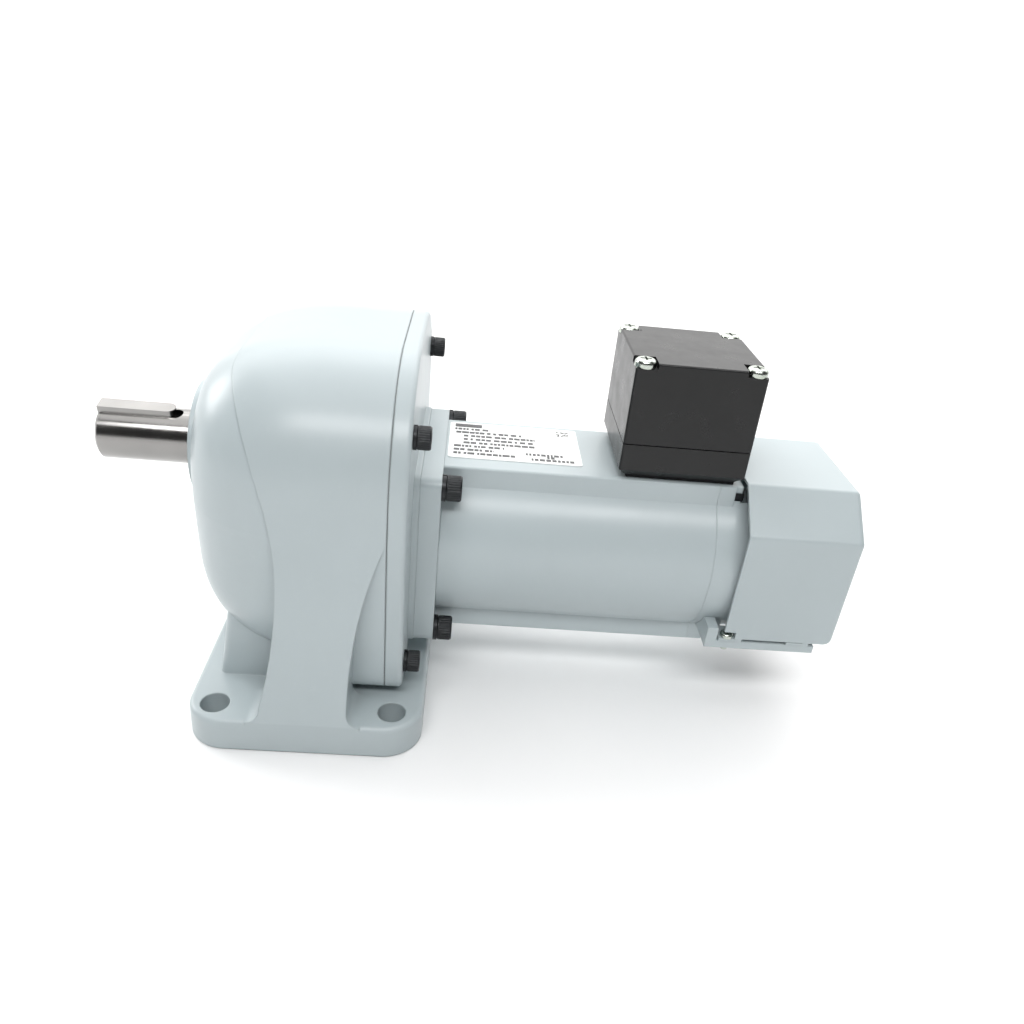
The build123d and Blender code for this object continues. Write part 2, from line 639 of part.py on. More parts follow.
def rear_shield():
    """End shield with the rear bearing, and the two ledges that carry the fan cover."""
    shield = slab(motor_section(), FRAME_REAR, 163.0) + slab(motor_section(22.4), 162.0, SHIELD_REAR)
    shield = shield + ring(SHIELD_REAR - 1, SKIRT_REAR, FRAME_R, FAN_R + 4, *MOTOR)
    shield = shield + block((159.5, SHIELD_REAR + 2), (-29, 29), (LEDGE_Z[0], 50))
    shield = shield + ring(152.0, FRAME_REAR + 1, FRAME_BORE, 30, *MOTOR)
    shield = shield + cyl(152.5, FRAME_REAR + 1, 17.5, *MOTOR)
    shield = shield - cyl(152.0, 161.0, 14, *MOTOR) - cyl(150, 170, 8.6, *MOTOR)
    for side in (-1, 1):
        y = sorted((side * 29.0, side * LEDGE_HALF))
        lug = block((159.5, 164.0), y, (LEDGE_Z[0], 44.5)) + block((159.5, 205.5), y, LEDGE_Z)
        shield = shield + (lug - cyl(SHIELD_REAR, 230, FAN_R + 3, *MOTOR))
    for x, y in TAB_SCREWS:
        shield = shield - Pos(x, y, LEDGE_TOP) * Cylinder(1.5, 12)
    for spot in SHIELD_SCREWS:
        shield = shield - cyl(150, 170, 2.2, *spot) - cyl(163.0, 170, 3.8, *spot)
    return shield


def fan_cover_outline(inset=0.0):
    top_half, top_z = FAN_COVER_TOP
    bend_half, bend_z = FAN_COVER_BEND
    side_half, side_z = FAN_COVER_SIDE
    right = [(top_half, top_z), (bend_half, bend_z), (side_half, side_z)]
    points = right + [(-y, z) for y, z in reversed(right)]
    face = fillet(make_face(Polyline(*points, close=True)).vertices().sort_by(Axis.Y)[-4:], 2.5)
    return offset(face, -inset) if inset else face


def fan_cover():
    """Folded sheet-metal cover, open towards the motor and downwards, with air slots behind."""
    x0, x1 = FAN_COVER_X
    outer = fillet(slab(fan_cover_outline(), x0, x1).faces().sort_by(Axis.X)[-1].edges(), 2.5)
    inner = slab(fan_cover_outline(SHEET), x0 - 1, x1 - SHEET)
    inner = inner + block((x0 - 1, x1 - SHEET), (-38, 38), (FAN_COVER_SIDE[1] - 5, 60))
    low = FAN_COVER_SIDE[1]
    rounding = block((x1 - FAN_COVER_CORNER, x1 + 1), (-50, 50), (low - 1, low + FAN_COVER_CORNER))
    rounding = rounding - Pos(x1 - FAN_COVER_CORNER, 0, low + FAN_COVER_CORNER) * Rot(90, 0, 0) * Cylinder(
        FAN_COVER_CORNER, 120)
    notch = block((x0 - 1, TAB_SCREWS[0][0] + 3.0), (-50, 50), (low - 1, LEDGE_TOP + 4.6))
    cover = outer - inner - rounding - notch
    for x, y in TAB_SCREWS:
        edge = FAN_COVER_SIDE[0] if y > 0 else -FAN_COVER_SIDE[0]
        inside = 30.0 if y > 0 else -30.0
        tab = block((x - 3.6, x + 6), sorted((inside, edge)), (LEDGE_TOP, LEDGE_TOP + SHEET))
        neck = block((x + 3.4, x + 6), sorted((edge, edge - SHEET if y > 0 else edge + SHEET)),
                     (LEDGE_TOP, FAN_COVER_SIDE[1] + 1))
        cover = cover + tab + neck - Pos(x, y, LEDGE_TOP) * Cylinder(1.6, 14)
    for row in range(-4, 5):
        z = MOTOR_Z + 2.0 + row * 6.4
        half = sqrt(31.0 ** 2 - (row * 6.4) ** 2)
        for side in (-1, 1):
            slot = block((x1 - 4, x1 + 4), sorted((side * 2.5, side * half)), (z - 1.5, z + 1.5))
            cover = cover - fillet(slot.edges().filter_by(Axis.X), 1.4)
    return cover


def stator_core():
    bore = ROTOR_R + 0.4
    slots = []
    for i in range(24):
        tooth_gap = Pos((bore + 26.5) / 2 + 1.0, 0) * Rectangle(26.5 - bore, 3.0)
        slots.append(Rot(0, 0, i * 15) * (tooth_gap + Pos(bore, 0) * Rectangle(3, 1.4)))
    return slab(Pos(*MOTOR) * (Circle(FRAME_BORE) - Circle(bore) - slots), *STACK)


def stator_windings():
    """Copper end turns at both ends of the stack, rounded into a ring."""
    ends = []
    for x0, x1 in ((STACK[0] - 10, STACK[0]), (STACK[1], STACK[1] + 10)):
        ends.append(fillet(ring(x0, x1, 30.5, 22, *MOTOR).edges(), 2.5))
    return solids_of(ends)


# ---------------------------------------------------------------- terminal box
LID_SCREWS = [(x, y) for x in (BOX_X[0] + 3.9, BOX_X[1] - 3.9) for y in (-BOX_HALF + 3.9, BOX_HALF - 3.9)]


def box_base():
    z0, seam, top = BOX_Z
    length = BOX_X[1] - BOX_X[0]
    outer = Pos(BOX_MID_X, 0, (z0 + seam) / 2) * Box(length, 2 * BOX_HALF, seam - z0)
    outer = chamfer(outer.faces().sort_by(Axis.Z)[0].edges(), 3.0)
    outer = fillet(outer.edges().filter_by(Axis.Z), 1.2)
    inner = Pos(BOX_MID_X, 0, (z0 + seam) / 2 + 3) * Box(length - 2 * BOX_WALL, 2 * (BOX_HALF - BOX_WALL),
                                                        seam - z0)
    base = outer - inner
    for x, y in LID_SCREWS:
        post = Pos(x, y, (z0 + seam) / 2 + 1.5) * Cylinder(3.6, seam - z0 - 3.0)
        base = base + post - Pos(x, y, seam) * Cylinder(1.7, 16)
    base = base - lead_hole()
    for x, y in BOX_SCREWS:
        base = base - Pos(x, y, z0) * Cylinder(1.9, 20)
    return base


def box_lid():
    z0, seam, top = BOX_Z
    length = BOX_X[1] - BOX_X[0]
    low = seam + 0.4
    outer = Pos(BOX_MID_X, 0, (low + top) / 2) * Box(length, 2 * BOX_HALF, top - low)
    outer = fillet(outer.edges().filter_by(Axis.Z), 1.2)
    outer = fillet(outer.faces().sort_by(Axis.Z)[-1].edges(), 0.8)
    inner = Pos(BOX_MID_X, 0, (low + top) / 2 - 2.5) * Box(length - 2 * BOX_WALL,
                                                          2 * (BOX_HALF - BOX_WALL), top - low)
    lid = outer - inner
    for x, y in LID_SCREWS:
        lid = lid + Pos(x, y, (low + top) / 2) * Cylinder(3.8, top - low)
        out_x = 1 if x > BOX_MID_X else -1
        out_y = 1 if y > 0 else -1
        notch_x = sorted((x - out_x * NOTCH, x + out_x * 20))
        notch_y = sorted((y - out_y * NOTCH, y + out_y * 20))
        lid = lid - block(notch_x, notch_y, (top - NOTCH_DEPTH, top + 5))
        lid = lid - Pos(x, y, low) * Cylinder(2.1, 200)
    return lid - Pos(BOX_MID_X, BOX_HALF, GLAND_Z) * Rot(90, 0, 0) * Cylinder(8.0, 20)


def cable_gland():
    """Screwed gland on the far wall of the terminal box, without a cable."""
    wall = BOX_HALF

    def ring_y(y0, y1, shape):
        return extrude(Plane(origin=(BOX_MID_X, y0, GLAND_Z), x_dir=(1, 0, 0), z_dir=(0, 1, 0)) * shape,
                       y1 - y0)

    body = ring_y(wall, wall + 5, RegularPolygon(12.5, 6)) + ring_y(wall - 8, wall, Circle(7.9))
    nut = ring_y(wall - BOX_WALL - 3.5, wall - BOX_WALL - 0.1, RegularPolygon(11.5, 6))
    cap = fillet(ring_y(wall + 5.0, wall + 14, Circle(10.5)).edges().sort_by(Axis.Y)[-1:], 3.5)
    return body + nut + cap - ring_y(wall - 20, wall + 20, Circle(4.5))


TERMINAL_X = BOX_MID_X + 6.0


def terminal_y(i):
    return (i - 1.5) * 7.4


def terminal_block():
    z0 = BOX_Z[0]
    block_body = Pos(TERMINAL_X, 0, z0 + 3 + 6) * Box(24, 30, 12)
    for i in range(4):
        block_body = block_body - Pos(TERMINAL_X, terminal_y(i), z0 + 15) * Box(26, 5.8, 8)
    for i in range(4):
        for dx in (-7, 7):
            block_body = block_body - Pos(TERMINAL_X + dx, terminal_y(i), z0 + 11) * Cylinder(1.4, 10)
    return block_body


def terminal_screws():
    return solids_of([pan_screw(TERMINAL_X + dx, terminal_y(i), BOX_Z[0] + 11, 2.6, 1.8, 1.4, 5)
                      for i in range(4) for dx in (-7, 7)])


def nameplate():
    face = Pos(sum(LABEL_X) / 2, sum(LABEL_Y) / 2) * RectangleRounded(
        LABEL_X[1] - LABEL_X[0], LABEL_Y[1] - LABEL_Y[0], 1.5)
    return extrude(Plane(origin=(0, 0, FLANGE_Z[1])) * face, 0.3)


def box_pad():
    """Foam pad between the motor's top strip and the terminal box."""
    low, high = FLANGE_Z[1], BOX_Z[0]
    pad = block((BOX_X[0] + 4, SHIELD_REAR - 4), (-BOX_HALF + 4, BOX_HALF - 4), (low, high))
    for x, y in BOX_SCREWS:
        pad = pad - Pos(x, y, low) * Cylinder(1.9, 20)
    return pad - lead_hole()


def output_seal():
    seal = ring(BOSS_FRONT + 0.6, -43.0, 20, SEAT_R + LIP, *OUTPUT)
    return seal - ring(BOSS_FRONT - 1, -46.5, 17.5, 14.5, *OUTPUT)


def input_seal():
    seal = ring(34.0, 37.0, 12, 7 + LIP, *MOTOR)
    return seal - ring(35.5, 38, 10.5, 8.2, *MOTOR)


def fan_clip():
    clip = ring(193.4, 194.6, 7.5, 5, *MOTOR)
    return clip - block((190, 198), (-1.5, 1.5), (MOTOR_Z + 4, MOTOR_Z + 9))


def main():
    save("gear_case", gear_case())
    save("gear_cover", gear_cover())
    save("cover_gasket", cover_gasket())
    save("cover_dowels", solids_of([cyl(CASE_REAR - 5, 33.5, 2.0, *spot) for spot in DOWELS]))
    save("cover_bolts", solids_of([cap_screw(COVER_REAR, y, z, 4.25, 5, 2.5, 18, 1.3)
                                   for y, z in COVER_BOLTS]))
    save("cover_lock_washers", solids_of([split_washer(COVER_REAR, y, z, 4.4, 2.6, 1.3)
                                          for y, z in COVER_BOLTS]))
    save("intermediate_plate", intermediate_plate())
    save("plate_screws", solids_of([cap_screw(PLATE_X[1], y, z, 4.25, 5, 2.5, 22, 0)
                                    for y, z in PLATE_SCREWS]))
    save("output_seal", output_seal())
    save("input_seal", input_seal())
    bearing_nodes()

    save("output_shaft", output_shaft())
    save("output_key", output_key())
    save("output_gear", output_gear())
    save("output_gear_key", key_block(OUTPUT, -20, -9, 6, 9, 14.8, 180, both_ends=True))
    save("second_shaft", second_shaft())
    save("second_gear", second_gear())
    save("first_shaft", first_shaft())
    save("first_gear", first_gear())
    save("rotor_shaft", rotor_shaft())
    save("rotor_core", rotor_core())
    save("rotor_end_rings", rotor_cage())
    save("cooling_fan", cooling_fan())
    save("fan_clip", fan_clip())

    save("motor_flange", motor_flange())
    save("motor_frame", motor_frame())
    save("rear_shield", rear_shield())
    save("stator_core", stator_core())
    save("stator_windings", stator_windings())
    save("motor_bolts", solids_of([cap_screw(FLANGE_REAR, y, z, 5, 6, 3.0, 16, 1.6)
                                   for y, z in MOTOR_BOLTS]))
    save("motor_lock_washers", solids_of([split_washer(FLANGE_REAR, y, z, 5.2, 3.1, 1.6)
                                          for y, z in MOTOR_BOLTS]))
    save("shield_screws", solids_of([cap_screw(163.0, y, z, 3.5, 4, 2.0, 18, 0)
                                     for y, z in SHIELD_SCREWS]))
    save("fan_cover", fan_cover())
    save("fan_cover_screws", solids_of([pan_screw(x, y, LEDGE_TOP + SHEET, 2.7, 1.9, 1.5, 6)
                                        for x, y in TAB_SCREWS]))
    save("nameplate", nameplate())

    save("terminal_box_pad", box_pad())
    save("terminal_box_base", box_base())
    save("terminal_box_lid", box_lid())
    save("lid_screws", solids_of([pan_screw(x, y, BOX_Z[2] - NOTCH_DEPTH, 4.0, 3.0, 1.7, 34)
                                  for x, y in LID_SCREWS]))
    save("box_screws", solids_of([pan_screw(x, y, BOX_Z[0] + 3, 3.2, 2.2, 1.7, 8)
                                  for x, y in BOX_SCREWS]))
    save("terminal_block", terminal_block())
    save("terminal_screws", terminal_screws())
    save("cable_gland", cable_gland())


main()
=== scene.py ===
import json
import math
import random

import bmesh
import bpy
from mathutils import Matrix, Vector

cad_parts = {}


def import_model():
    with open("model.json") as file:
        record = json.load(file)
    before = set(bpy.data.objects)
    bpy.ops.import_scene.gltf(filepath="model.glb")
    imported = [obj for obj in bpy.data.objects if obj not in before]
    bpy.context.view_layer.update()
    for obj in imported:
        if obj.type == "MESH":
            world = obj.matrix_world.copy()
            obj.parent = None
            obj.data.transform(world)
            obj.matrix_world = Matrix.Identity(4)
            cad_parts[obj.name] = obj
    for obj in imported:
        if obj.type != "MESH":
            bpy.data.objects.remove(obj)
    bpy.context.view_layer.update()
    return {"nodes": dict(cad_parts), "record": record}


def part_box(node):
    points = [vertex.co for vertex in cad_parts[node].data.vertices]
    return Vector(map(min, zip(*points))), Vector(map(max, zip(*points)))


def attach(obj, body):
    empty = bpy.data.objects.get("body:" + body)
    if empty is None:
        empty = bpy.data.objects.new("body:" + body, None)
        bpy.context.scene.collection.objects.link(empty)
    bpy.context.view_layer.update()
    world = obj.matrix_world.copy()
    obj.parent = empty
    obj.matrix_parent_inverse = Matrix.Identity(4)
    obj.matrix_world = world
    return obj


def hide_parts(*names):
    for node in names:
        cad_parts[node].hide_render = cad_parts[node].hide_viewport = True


# The looks of a foot-mounted parallel-shaft gearmotor, in metres, in the frame of its CAD model:
# +X from the output shaft towards the motor, +Z up, origin on the underside of the foot.

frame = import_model()
nodes = frame["nodes"]

MM = 0.001
SEED = 7                                 # for the turns of the screws and the lengths of the label's marks

# ---------------------------------------------------------------- colours, linear
PAINT = (0.415, 0.472, 0.488)
PAINT_DUST = (0.62, 0.66, 0.66)
BLACK_OXIDE = (0.020, 0.022, 0.024)
BLACK_PLASTIC = (0.007, 0.0072, 0.0075)
STEEL = (0.29, 0.284, 0.276)
GEAR_STEEL = (0.36, 0.36, 0.37)
ZINC = (0.50, 0.53, 0.50)
ALUMINIUM = (0.62, 0.63, 0.64)
COPPER = (0.62, 0.24, 0.10)
RUBBER = (0.018, 0.018, 0.019)
GASKET = (0.24, 0.26, 0.26)
LABEL = (0.86, 0.87, 0.86)
INK = (0.02, 0.02, 0.022)
WORN_INK = (0.07, 0.07, 0.075)
YELLOWED_LABEL = (0.78, 0.785, 0.76)
WORN_BLACK = (0.09, 0.092, 0.095)
FAN_BLACK = (0.03, 0.03, 0.032)
FOAM = (0.02, 0.02, 0.022)
SHEET_EDGE_DARK = (0.12, 0.125, 0.135)
SHEET_EDGE_LIGHT = (0.24, 0.245, 0.255)
FLOOR_LOW = (0.86, 0.865, 0.87)
FLOOR_HIGH = (0.90, 0.90, 0.90)

# ---------------------------------------------------------------- screws
COVER_SCREW = (4.25 * MM, 5.0 * MM, 2.5 * MM)    # M5: head radius, head height, shank radius
MOTOR_SCREW = (5.0 * MM, 6.0 * MM, 3.0 * MM)     # M6
SMOOTH_ANGLE = math.radians(32)          # on the pieces made here, edges sharper than this stay sharp
KNURL_RIDGES = 30
# Shares of the head's radius or height.
KNURL_DEPTH = 0.045
KNURL_LOW, KNURL_HIGH = 0.12, 0.88
SOCKET_RADIUS = 0.50
SOCKET_FLOOR = 0.45

# ---------------------------------------------------------------- marks on the label
# Shares of its length and of its width, the latter from the near edge.
BROAD_BAR = (0.04, 0.25, 0.86, 0.96)
RULE = (0.04, 0.95, 0.715, 0.722)
ROWS = ((0.04, 0.30), (0.05, 0.56), (0.11, 0.66), (0.11, 0.66),
        (0.11, 0.66), (0.04, 0.42), (0.04, 0.34), (0.04, 0.50))
TOP_ROW = 0.775
ROW_PITCH = 0.098
BAR_HEIGHT = 0.06
BAR_LENGTHS = (0.016, 0.055)
BAR_GAPS = (0.006, 0.006, 0.02)
CORNER_ROWS = ((0.58, 0.86, 0.18), (0.74, 0.80, 0.12), (0.62, 0.94, 0.05))
CORNER_LENGTHS = (0.015, 0.04)
CORNER_GAP = 0.009
SQUARE_CORNER = (0.84, 0.79)
SQUARE_CELLS = 8
CELL = (0.012, 0.018)
CELL_FILL = 0.92
PRINT_THICKNESS = 0.02 * MM

# ---------------------------------------------------------------- stage, light and view
FLOOR_HALF = 1.6
WORLD_TINT = (1.0, 0.995, 0.985, 1.0)
WORLD_FRONT = 0.06                       # strength on the camera's side
WORLD_BACK = 1.6                         # strength behind the object
WORLD_FULL = 0.9                         # how far a direction points back, 0 to 1, where that is reached

# name, place, target, size, watts
LIGHTS = [
    ("overhead", (0.0, 0.2, 1.3), (0.04, 0, 0.08), (1.6, 1.4), 11.5),
    ("left_back", (-1.2, 0.5, 0.55), (0.05, 0, 0.08), (0.5, 0.5), 6.0),
    ("low_front", (0.0, -0.9, 0.08), (0.04, 0, 0.03), (1.6, 0.12), 0.5),
    ("high_front", (0.05, -0.85, 1.2), (0.04, 0, 0.06), (1.3, 0.3), 13.5),
    ("far_floor", (0.0, 1.3, 1.2), (0.0, 1.3, 0.0), (4.5, 1.4), 30.0),
]

CAMERA_PLACE = (0.0527, -0.3209, 0.2445)
CAMERA_YAW, CAMERA_PITCH, CAMERA_ROLL = 4.35, 28.4, 6.18    # degrees
CAMERA_LENS, CAMERA_SENSOR = 29.95, 36.0                    # millimetres

# ---------------------------------------------------------------- material helpers
MIDDLE = (0.3, 0.7)                      # where most of a noise's values lie


class Nodes:
    """A material's node tree, with short calls for the nodes used here."""

    def __init__(self, name):
        self.material = bpy.data.materials.new(name)
        self.material.use_nodes = True
        self.tree = self.material.node_tree
        self.shader = self.tree.nodes["Principled BSDF"]
        self.place = self.add("ShaderNodeTexCoord").outputs["Object"]

    def add(self, kind, **settings):
        node = self.tree.nodes.new(kind)
        for key, value in settings.items():
            setattr(node, key, value)
        return node

    def link(self, output, socket):
        self.tree.links.new(output, socket)

    def stretched(self, scale):
        """Object coordinates scaled by three factors, for grain that runs one way."""
        mapping = self.add("ShaderNodeMapping")
        mapping.inputs["Scale"].default_value = scale
        self.link(self.place, mapping.inputs["Vector"])
        return mapping.outputs["Vector"]

    def noise(self, scale, detail=3.0, rough=0.55, place=None):
        """Noise in object space, or in the place given; scale is per metre."""
        node = self.add("ShaderNodeTexNoise")
        node.inputs["Scale"].default_value = scale
        node.inputs["Detail"].default_value = detail
        node.inputs["Roughness"].default_value = rough
        self.link(place or self.place, node.inputs["Vector"])
        return node.outputs["Fac"]

    def ramp(self, value, low, high, out_low=0.0, out_high=1.0):
        """A value's range from low to high, brought to another range and held there."""
        node = self.add("ShaderNodeMapRange")
        node.inputs["From Min"].default_value = low
        node.inputs["From Max"].default_value = high
        node.inputs["To Min"].default_value = out_low
        node.inputs["To Max"].default_value = out_high
        self.link(value, node.inputs["Value"])
        return node.outputs["Result"]

    def patches(self, scale, detail, out_low=0.0, out_high=1.0):
        """Soft patches of noise, from one value to another."""
        return self.ramp(self.noise(scale, detail), *MIDDLE, out_low, out_high)

    def mix(self, factor, a, b):
        """Colour between a and b; each is a colour or an output."""
        node = self.add("ShaderNodeMix", data_type="RGBA")
        self.link(factor, node.inputs["Factor"])
        colour_in = [s for s in node.inputs if s.type == "RGBA"]
        for socket, value in zip(colour_in, (a, b)):
            if isinstance(value, tuple):
                socket.default_value = (*value, 1.0)
            else:
                self.link(value, socket)
        return [s for s in node.outputs if s.type == "RGBA"][0]

    def math(self, operation, a, b):
        node = self.add("ShaderNodeMath", operation=operation)
        for socket, value in zip(node.inputs, (a, b)):
            if isinstance(value, float):
                socket.default_value = value
            else:
                self.link(value, socket)
        return node.outputs["Value"]

    def bump(self, height, distance, strength=1.0, normal=None):
        node = self.add("ShaderNodeBump")
        node.inputs["Strength"].default_value = strength
        node.inputs["Distance"].default_value = distance
        self.link(height, node.inputs["Height"])
        if normal is not None:
            self.link(normal, node.inputs["Normal"])
        return node.outputs["Normal"]

    def rounded_edges(self, radius):
        """A normal that makes sharp edges look rounded."""
        node = self.add("ShaderNodeBevel", samples=6)
        node.inputs["Radius"].default_value = radius
        return node.outputs["Normal"]

    def finish(self, colour=None, rough=None, normal=None, **constants):
        """Links what varies; constants go on the shader's own sockets."""
        for output, name in ((colour, "Base Color"), (rough, "Roughness"), (normal, "Normal")):
            if output is not None:
                self.link(output, self.shader.inputs[name])
        for name, value in constants.items():
            self.shader.inputs[name.replace("_", " ")].default_value = value
        return self.material


def shade(base, factor):
    """A colour made lighter or darker."""
    return tuple(c * factor for c in base)


# ---------------------------------------------------------------- materials
def enamel(name, base, edge_radius, peel):
    """Satin enamel over a casting: faint mottling, orange peel, softened edges."""
    n = Nodes(name)
    cloud = n.patches(14.0, 4.0)
    speck = n.ramp(n.noise(500.0, 2.0), 0.62, 0.80)
    colour = n.mix(cloud, shade(base, 0.965), shade(base, 1.02))
    colour = n.mix(n.math("MULTIPLY", speck, 0.06), colour, PAINT_DUST)
    rough = n.patches(60.0, 3.0, 0.29, 0.34)
    normal = n.bump(n.noise(420.0, 2.0), 0.000012, peel, n.rounded_edges(edge_radius))
    return n.finish(colour, rough, normal, Metallic=0.0, IOR=1.5)


def ground_steel():
    """Bright ground shaft: fine lines round the axis, faint oil film."""
    n = Nodes("ground_steel")
    lines = n.noise(1.0, 4.0, 0.7, n.stretched((6000.0, 60.0, 60.0)))
    film = n.noise(45.0, 3.0)
    colour = n.mix(n.ramp(film, 0.35, 0.7), shade(STEEL, 0.92), shade(STEEL, 1.06))
    rough = n.math("ADD", n.ramp(lines, *MIDDLE, 0.10, 0.20), n.ramp(film, *MIDDLE, 0.0, 0.08))
    return n.finish(colour, rough, n.bump(lines, 0.000012, 0.5), Metallic=1.0)


def cut_steel(name, base, low, high):
    """Machined steel with cutter marks and a brownish trace of oil."""
    n = Nodes(name)
    marks = n.noise(1.0, 3.0, 0.6, n.stretched((2500.0, 300.0, 300.0)))
    oil = n.ramp(n.noise(70.0, 4.0), 0.4, 0.75)
    colour = n.mix(oil, base, (base[0] * 0.86, base[1] * 0.80, base[2] * 0.70))
    rough = n.ramp(marks, *MIDDLE, low, high)
    return n.finish(colour, rough, n.bump(marks, 0.00002, 0.5), Metallic=1.0)


def black_oxide():
    """Blackened screw steel, slightly worn to grey in patches, with softened edges."""
    n = Nodes("black_oxide")
    worn = n.ramp(n.noise(260.0, 4.0), 0.55, 0.8, 0.0, 0.5)
    colour = n.mix(worn, BLACK_OXIDE, WORN_BLACK)
    rough = n.patches(700.0, 3.0, 0.30, 0.48)
    normal = n.bump(n.noise(1800.0, 2.0), 0.00002, 0.4, n.rounded_edges(0.00025))
    return n.finish(colour, rough, normal, Metallic=0.55)


def moulded(name, base, grain, low, high, edge=0.0003, depth=0.00005):
    """Moulded plastic with a fine spark-eroded texture."""
    n = Nodes(name)
    fine = n.noise(grain, 3.0, 0.6)
    scuff = n.ramp(n.noise(35.0, 5.0, 0.65), 0.45, 0.75)
    colour = n.mix(scuff, base, tuple(c * 1.15 + 0.001 for c in base))
    rough = n.patches(120.0, 3.0, low, high)
    normal = n.bump(fine, depth, 0.6, n.rounded_edges(edge))
    return n.finish(colour, rough, normal, Metallic=0.0, IOR=1.40)


def plated(name, base, low, high):
    """Zinc or bright plating: fine crystals and slight unevenness."""
    n = Nodes(name)
    crystals = n.noise(1400.0, 3.0, 0.6)
    tint = n.ramp(n.noise(300.0, 3.0), 0.35, 0.7)
    colour = n.mix(tint, base, (base[0] * 0.97, base[1] * 1.0, base[2] * 0.92))
    rough = n.ramp(crystals, *MIDDLE, low, high)
    return n.finish(colour, rough, n.bump(crystals, 0.000008, 0.5), Metallic=1.0)


def laminations():
    """Stacked steel sheets seen edge on, with a dull insulating film."""
    n = Nodes("laminations")
    sheets = n.noise(1.0, 1.0, 0.3, n.stretched((2000.0, 2.0, 2.0)))
    colour = n.mix(n.ramp(sheets, 0.4, 0.6), SHEET_EDGE_DARK, SHEET_EDGE_LIGHT)
    rough = n.patches(200.0, 3.0, 0.42, 0.60)
    return n.finish(colour, rough, n.bump(sheets, 0.00005, 0.8), Metallic=0.8)


def copper_wire():
    """Enamelled wire wound round the stack, lacquered."""
    n = Nodes("copper_wire")
    strands = n.noise(1.0, 2.0, 0.5, n.stretched((1600.0, 250.0, 250.0)))
    colour = n.mix(n.ramp(strands, 0.35, 0.65), shade(COPPER, 0.55), shade(COPPER, 1.1))
    rough = n.patches(300.0, 2.0, 0.25, 0.42)
    return n.finish(colour, rough, n.bump(strands, 0.0003, 0.9), Metallic=0.7)


def label_film():
    """White printed film, faintly yellowed and dusty."""
    n = Nodes("label_film")
    dust = n.ramp(n.noise(180.0, 4.0), 0.45, 0.8)
    colour = n.mix(dust, LABEL, YELLOWED_LABEL)
    rough = n.patches(90.0, 3.0, 0.25, 0.38)
    return n.finish(colour, rough, n.bump(n.noise(500.0, 2.0), 0.00001, 0.4), Metallic=0.0)


def printed_ink():
    """Black print, broken up where it is worn."""
    n = Nodes("printed_ink")
    broken = n.ramp(n.noise(2600.0, 2.0), 0.40, 0.70)
    colour = n.mix(broken, INK, WORN_INK)
    rough = n.patches(400.0, 2.0, 0.30, 0.45)
    return n.finish(colour, rough, Metallic=0.0)


def floor_material():
    """Pale matt table top, faintly uneven."""
    n = Nodes("table_top")
    colour = n.mix(n.patches(6.0, 4.0), FLOOR_LOW, FLOOR_HIGH)
    rough = n.patches(20.0, 3.0, 0.55, 0.70)
    return n.finish(colour, rough, Metallic=0.0)


MATERIALS = {
    "casting_paint": enamel("casting_enamel", PAINT, 0.0009, 0.5),
    "motor_paint": enamel("motor_enamel", PAINT, 0.0006, 0.35),
    "sheet_paint": enamel("sheet_enamel", PAINT, 0.0004, 0.25),
    "shaft_steel": ground_steel(),
    "gear_steel": cut_steel("gear_steel", GEAR_STEEL, 0.24, 0.40),
    "bearing_steel": cut_steel("bearing_steel", shade(STEEL, 1.1), 0.08, 0.16),
    "black_oxide": black_oxide(),
    "zinc": plated("zinc_plate", ZINC, 0.16, 0.30),
    "bare_aluminium": cut_steel("bare_aluminium", ALUMINIUM, 0.34, 0.50),
    "lamination": laminations(),
    "copper": copper_wire(),
    "black_plastic": moulded("black_plastic", BLACK_PLASTIC, 2300.0, 0.26, 0.34, depth=0.00001),
    "fan_plastic": moulded("fan_plastic", FAN_BLACK, 1500.0, 0.50, 0.62),
    "seal_rubber": moulded("seal_rubber", RUBBER, 1200.0, 0.62, 0.75),
    "gasket_paper": moulded("gasket_paper", GASKET, 900.0, 0.80, 0.92),
    "foam": moulded("foam", FOAM, 700.0, 0.85, 0.95, depth=0.0002),
    "label_film": label_film(),
}


def dress(obj, material):
    """Gives an object one material, in place of any it had."""
    obj.data.materials.clear()
    obj.data.materials.append(material)


def dress_cad():
    """Every CAD node gets the finish of its own material slot."""
    slots = {part["node"]: part["material_slot"] for part in frame["record"]["subparts"]}
    for name, obj in nodes.items():
        dress(obj, MATERIALS[slots[name]])


# ---------------------------------------------------------------- pieces made here
def finished(name, bm, slot, smooth=True):
    """Turns a bmesh into a piece that rides on the housing, with the finish of its slot."""
    mesh = bpy.data.meshes.new(name)
    bmesh.ops.recalc_face_normals(bm, faces=bm.faces)
    bm.to_mesh(mesh)
    bm.free()
    obj = bpy.data.objects.new(name, mesh)
    bpy.context.scene.collection.objects.link(obj)
    dress(obj, MATERIALS[slot])
    if smooth:
        mesh.shade_smooth()
        mesh.set_sharp_from_angle(angle=SMOOTH_ANGLE)
    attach(obj, "housing")
    return obj


def lathe(bm, profile, segments, where, radius_at):
    """Closed body turned round the X axis from (x, r) points; radius_at(r, x, i) is for step i round."""
    rows = []
    for x, r in profile:
        if r == 0.0:
            rows.append([bm.verts.new(where @ Vector((x, 0, 0)))])
            continue
        row = []
        for i in range(segments):
            angle = 2 * math.pi * i / segments
            at = radius_at(r, x, i)
            row.append(bm.verts.new(where @ Vector((x, at * math.cos(angle), at * math.sin(angle)))))
        rows.append(row)
    for one, two in zip(rows, rows[1:]):
        for i in range(segments):
            j = (i + 1) % segments
            corners = [one[i % len(one)], one[j % len(one)], two[j % len(two)], two[i % len(two)]]
            kept = []
            for corner in corners:
                if corner not in kept:
                    kept.append(corner)
            bm.faces.new(kept)


